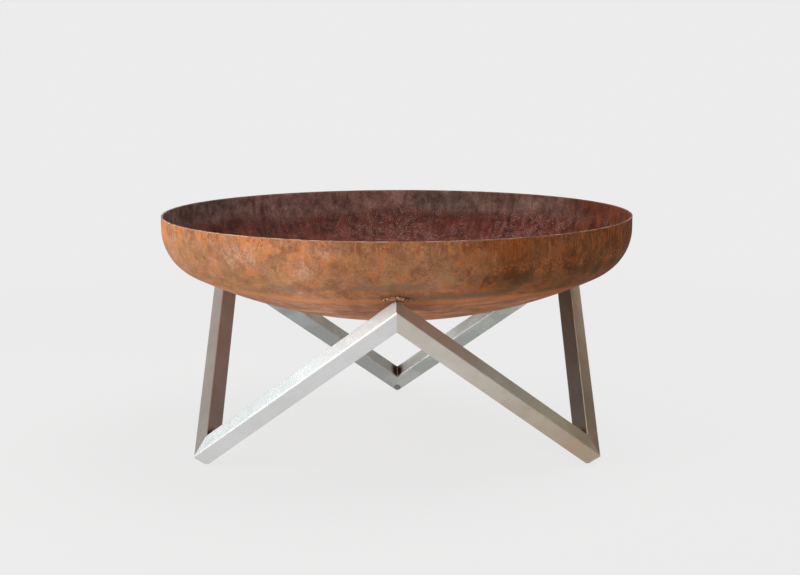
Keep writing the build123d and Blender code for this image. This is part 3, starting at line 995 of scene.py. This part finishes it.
def vent_plug(name, foot, seed):
    """Small pressed plug low on the inner flat of a foot."""
    ang = math.radians(foot)
    radial = np.array([math.cos(ang), math.sin(ang), 0.0])
    up = np.array([0.0, 0.0, 1.0])
    nrm = -radial * 0.8165 - up * 0.5774
    slope = radial * 0.5774 - up * 0.8165
    flat = np.cross(nrm, slope)
    cen = radial * CORNER_R + up * BOTTOM_Z + nrm * (TUBE_A / 2) + slope * 0.0082
    prof = [(0.0006, 0.00022), (0.0024, 0.00024), (0.0042, 0.00024), (0.0048, 0.00030),
            (0.0052, 0.00054), (0.0057, 0.00070), (0.0062, 0.00062), (0.0065, 0.00036),
            (0.0066, -0.0004), (0.0034, -0.0004), (0.0006, -0.0004)]
    n, m = 56, len(prof)
    verts = []
    for k in range(n):
        t = 2 * math.pi * k / n
        for r, h in prof:
            verts.append(cen + (flat * math.cos(t) + slope * math.sin(t)) * r + nrm * h)
    verts = np.array(verts)
    verts += fbm(verts * 900.0, 2, seed)[:, None] * 0.00003 * nrm
    faces = [(k * m + j, k * m + j + 1, ((k + 1) % n) * m + j + 1, ((k + 1) % n) * m + j)
             for k in range(n) for j in range(m - 1)]
    faces.append(tuple(k * m for k in range(n)))
    faces.append(tuple(k * m + m - 1 for k in range(n))[::-1])
    return mesh_object(name, verts, faces, (PLUG,))


# ------------------------------------------------------------ welds, the grate
def blob(center, axes, seed, nu=14, nv=9, lump=0.16):
    """Lumpy ellipsoid, a spot of weld metal."""
    verts, faces = [], []
    ax = [np.array(a, float) for a in axes]
    for j in range(1, nv):
        ph = math.pi * j / nv
        for i in range(nu):
            th = 2 * math.pi * i / nu
            d = np.array([math.sin(ph) * math.cos(th), math.sin(ph) * math.sin(th),
                          math.cos(ph)])
            verts.append(d)
    verts.append(np.array([0, 0, 1.0]))
    verts.append(np.array([0, 0, -1.0]))
    D = np.array(verts)
    rr = 1 + lump * fbm(D * 2.1 + seed * 3.7, 2, seed)
    D = D * rr[:, None]
    P = D[:, :1] * ax[0] + D[:, 1:2] * ax[1] + D[:, 2:3] * ax[2] + np.array(center)
    for j in range(nv - 2):
        for i in range(nu):
            k = (i + 1) % nu
            faces.append((j * nu + i, (j + 1) * nu + i, (j + 1) * nu + k, j * nu + k))
    t, b = (nv - 1) * nu, (nv - 1) * nu + 1
    for i in range(nu):
        k = (i + 1) % nu
        faces.append((t, i, k))
        faces.append((b, (nv - 2) * nu + k, (nv - 2) * nu + i))
    return P, faces


def grate_welds():
    lo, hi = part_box("grate_ring")
    ring_z = (lo.z + hi.z) / 2
    ring_r, ring_h = 0.230, 0.005
    spots = []
    bar_r = 0.004
    for k in range(1, 10):
        blo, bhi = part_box(f"grate_bar_{k}")
        bx, bz = (blo.x + bhi.x) / 2, (blo.z + bhi.z) / 2
        y = math.sqrt(ring_r ** 2 - bx * bx)
        for s in (-1, 1):
            tang = np.array([-s * y, bx, 0.0]) / ring_r
            for q in (-1, 1):      # one bead each side of the bar
                c = np.array([bx, s * y, ring_z + 0.0046]) + \
                    np.array([q * 0.0041, 0, 0])
                spots.append((c, [(0.0022, 0, 0), (0, 0.0042, 0), (0, 0, 0.0018)]))
        for cname in ("front", "back"):
            clo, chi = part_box(f"grate_cross_bar_{cname}")
            cy = (clo.y + chi.y) / 2
            for q in (-1, 1):
                c = np.array([bx + q * 0.0038, cy, ring_z + 0.0048])
                spots.append((c, [(0.0020, 0, 0), (0, 0.0034, 0), (0, 0, 0.0015)]))
    for cname in ("front", "back"):
        clo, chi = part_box(f"grate_cross_bar_{cname}")
        cy = (clo.y + chi.y) / 2
        for s in (-1, 1):
            ex = s * math.sqrt((ring_r - 0.0052) ** 2 - cy * cy)
            for q in range(8):
                a = 2 * math.pi * q / 8 + 0.2
                c = np.array([ex - s * 0.0006, cy + 0.0049 * math.cos(a),
                              ring_z + 0.0046 * math.sin(a)])
                spots.append((c, [(0.0019, 0, 0), (0, 0.0021, 0), (0, 0, 0.0021)]))
    for nm in ("front_left", "front_right", "back_left", "back_right"):
        flo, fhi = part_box(f"grate_foot_{nm}")
        fx, fy = (flo.x + fhi.x) / 2, (flo.y + fhi.y) / 2
        for q in range(9):
            a = 2 * math.pi * q / 9
            rad = np.array([fx, fy, 0]) / math.hypot(fx, fy)
            tan = np.array([-rad[1], rad[0], 0])
            drop = 0.0022 * abs(math.cos(a)) ** 1.5
            c = np.array([fx, fy, ring_z - 0.0046 + drop]) + \
                rad * 0.0052 * math.cos(a) + tan * 0.0050 * math.sin(a)
            spots.append((c, [(0.0021, 0, 0), (0, 0.0021, 0), (0, 0, 0.0018)]))
    for nm in ("left", "right"):
        llo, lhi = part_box(f"grate_loop_{nm}")
        lx = (llo.x + lhi.x) / 2
        for s in (-1, 1):
            ly = s * 0.040
            for q in range(8):
                a = 2 * math.pi * q / 8 + 0.3
                c = np.array([lx + 0.0041 * math.cos(a), ly + 0.0043 * math.sin(a),
                              ring_z + 0.0050])
                spots.append((c, [(0.0018, 0, 0), (0, 0.0019, 0), (0, 0, 0.0019)]))
    verts, faces = [], []
    for k, (c, ax) in enumerate(spots):
        P, F = blob(c, ax, k + 1, 10, 7)
        off = len(verts)
        verts.extend(P)
        faces.extend(tuple(i + off for i in f) for f in F)
    return mesh_object("grate_weld_spots", verts, faces, (GRATE,))


# ------------------------------------------------------------------- assemble
FLOOR_GLOW = 0.90
OUTSIDE, INSIDE, RIM = rust_outside(), rust_inside(), rust_rim()
STOP, WELD, GROUND, GRATE = rust_weld(), weld_steel(), ground_steel(), grate_steel()
PLUG = plug_steel()

bowl = bowl_piece()
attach(bowl, "bowl")
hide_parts("bowl_shell")

for k, (nm, ang) in enumerate((("front", 270.0), ("back_left", 150.0),
                               ("back_right", 30.0))):
    ob = stop_piece("stop_" + nm, ang, 11 + k)
    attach(ob, "bowl")
    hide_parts("seat_stop_" + nm)

# per tube: steel colour, mottle, heat tint and stain, plus faces and fade, which are painted light and
# shade per flat and down the tube
TUBE_FINISH_AND_PAINTED_LIGHT = {
    "stand_tube_front_left": dict(base=(0.70, 0.71, 0.71), mottle=0.10, straw=0.04,
                                  grain=0.03,
                                  faces=((LOW_FRONT, (1.06, 1.05, 1.05)),
                                         (UP_LEFT, (0.91, 0.95, 0.97)))),
    "stand_tube_front_right": dict(base=(0.66, 0.64, 0.605), mottle=0.16,
                                   faces=((UP_RIGHT, (1.18, 1.10, 1.00),
                                           (1.40, 1.52, 1.50)),
                                          (LOW_FRONT, (0.99, 0.96, 0.91))),
                                   painted_shade_down_tube=(0.75, 0.66, 0.57), stain=0.28),
    "stand_tube_side_left": dict(base=(0.66, 0.60, 0.56), mottle=0.16,
                                 faces=((UP_RIGHT, (0.84, 1.10, 1.42)),),
                                 painted_shade_down_tube=(0.92, 0.92, 0.92)),
    "stand_tube_side_right": dict(base=(0.68, 0.58, 0.49), mottle=0.20,
                                  faces=((UP_LEFT, (0.47, 0.66, 0.88),
                                          (1.90, 1.90, 1.75)),
                                         (UP_RIGHT, (0.86, 0.77, 0.66))),
                                  painted_shade_down_tube=(0.46, 0.45, 0.43)),
    "stand_tube_back_left": dict(base=(0.60, 0.61, 0.60), mottle=0.42, tint=0.84,
                                 faces=((UP_RIGHT, (1.66, 1.60, 1.52)),
                                        (LOW_FRONT, (0.72, 0.74, 0.74)))),
    "stand_tube_back_right": dict(base=(0.58, 0.59, 0.57), mottle=0.42, tint=0.84,
                                  faces=((UP_LEFT, (0.94, 0.94, 0.92)),
                                         (LOW_FRONT, (0.78, 0.81, 0.79)))),
}
for k, nm in enumerate(TUBES):
    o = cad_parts[nm]
    o.data.materials.clear()
    o.data.materials.append(brushed(nm, seed=k + 1, **TUBE_FINISH_AND_PAINTED_LIGHT[nm]))

for k, (nm, tube, top_end) in enumerate((
        ("weld_top_front", "stand_tube_front_left", True),
        ("weld_top_back_left", "stand_tube_side_left", True),
        ("weld_top_back_right", "stand_tube_side_right", True),
        ("weld_foot_front_left", "stand_tube_front_left", False),
        ("weld_foot_front_right", "stand_tube_front_right", False),
        ("weld_foot_back", "stand_tube_back_left", False))):
    ob = corner_weld(nm, tube, top_end, 40 + k)
    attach(ob, "stand")

for k, (nm, foot) in enumerate((("front_left", 210.0), ("front_right", 330.0),
                                ("back", 90.0))):
    ob = vent_plug("foot_plug_" + nm, foot, 60 + k)
    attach(ob, "stand")

for nm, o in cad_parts.items():
    if nm.startswith("grate_"):
        o.data.materials.clear()
        o.data.materials.append(GRATE)
gw = grate_welds()
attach(gw, "grate")

# ---------------------------------------------------------------------- stage
fl = mesh_object("studio_floor_disc",
                 [(45 * math.cos(2 * math.pi * k / 96),
                   45 * math.sin(2 * math.pi * k / 96), -0.0003)
                  for k in range(96)], [tuple(range(96))], smooth=False)
fl.data.materials.append(pale_floor())


def area(name, loc, target, size, power, color=(1, 1, 1), size_y=None):
    L = bpy.data.lights.new(name, "AREA")
    L.shape = "RECTANGLE"
    L.size, L.size_y = size, size_y or size
    L.energy = power
    L.color = color
    o = bpy.data.objects.new(name, L)
    o.location = loc
    o.rotation_euler = (Vector(target) - Vector(loc)).to_track_quat("-Z", "Y").to_euler()
    bpy.context.scene.collection.objects.link(o)
    return o


area("key_left", (-2.6, -1.0, 0.98), (0.0, 0.0, 0.25), 2.5, 56.0, (1.0, 0.985, 0.96), 1.6)
area("soft_top", (0.9, 0.2, 2.7), (-0.1, 0.0, 0.3), 2.0, 46.0)

world = bpy.data.worlds.new("studio")
bpy.context.scene.world = world
world.use_nodes = True
wt = world.node_tree
wt.nodes.clear()
wo = wt.nodes.new("ShaderNodeOutputWorld")
seen = wt.nodes.new("ShaderNodeBackground")
seen.inputs[0].default_value = (0.838, 0.838, 0.838, 1)
lit = wt.nodes.new("ShaderNodeBackground")
coord = wt.nodes.new("ShaderNodeTexCoord")
sep = wt.nodes.new("ShaderNodeSeparateXYZ")
wt.links.new(coord.outputs["Generated"], sep.inputs[0])
mr = wt.nodes.new("ShaderNodeMapRange")
mr.interpolation_type = "SMOOTHSTEP"
mr.inputs["From Min"].default_value = -0.8
mr.inputs["From Max"].default_value = 0.8
mr.inputs["To Min"].default_value = 0.60
mr.inputs["To Max"].default_value = 0.20
wt.links.new(sep.outputs[0], mr.inputs["Value"])
lit.inputs[0].default_value = (1.0, 0.99, 0.975, 1)
wt.links.new(mr.outputs["Result"], lit.inputs[1])
lp = wt.nodes.new("ShaderNodeLightPath")
mxs = wt.nodes.new("ShaderNodeMixShader")
wt.links.new(lp.outputs["Is Camera Ray"], mxs.inputs[0])
wt.links.new(lit.outputs[0], mxs.inputs[1])
wt.links.new(seen.outputs[0], mxs.inputs[2])
wt.links.new(mxs.outputs[0], wo.inputs[0])

# --------------------------------------------------------------------- camera
cam_data = bpy.data.cameras.new("camera")
cam_data.sensor_width = 36.0
cam_data.lens = 69.02
cam_data.clip_end = 200.0
cam = bpy.data.objects.new("camera", cam_data)
bpy.context.scene.collection.objects.link(cam)
pitch, yaw, roll = 0.15807, 0.00109, -0.00218
fwd = Vector((math.sin(yaw) * math.cos(pitch), math.cos(yaw) * math.cos(pitch),
              -math.sin(pitch)))
right = Vector((math.cos(yaw), -math.sin(yaw), 0.0))
upv = right.cross(fwd)
r2 = right * math.cos(roll) + upv * math.sin(roll)
u2 = -right * math.sin(roll) + upv * math.cos(roll)
M = Matrix((r2, u2, -fwd)).transposed().to_4x4()
M.translation = Vector((0.0025, -2.6167, 0.6803))
cam.matrix_world = M
bpy.context.scene.camera = cam

vs = bpy.context.scene.view_settings
vs.view_transform = "Standard"
vs.look = "None"
vs.exposure = 0.0
vs.gamma = 1.0
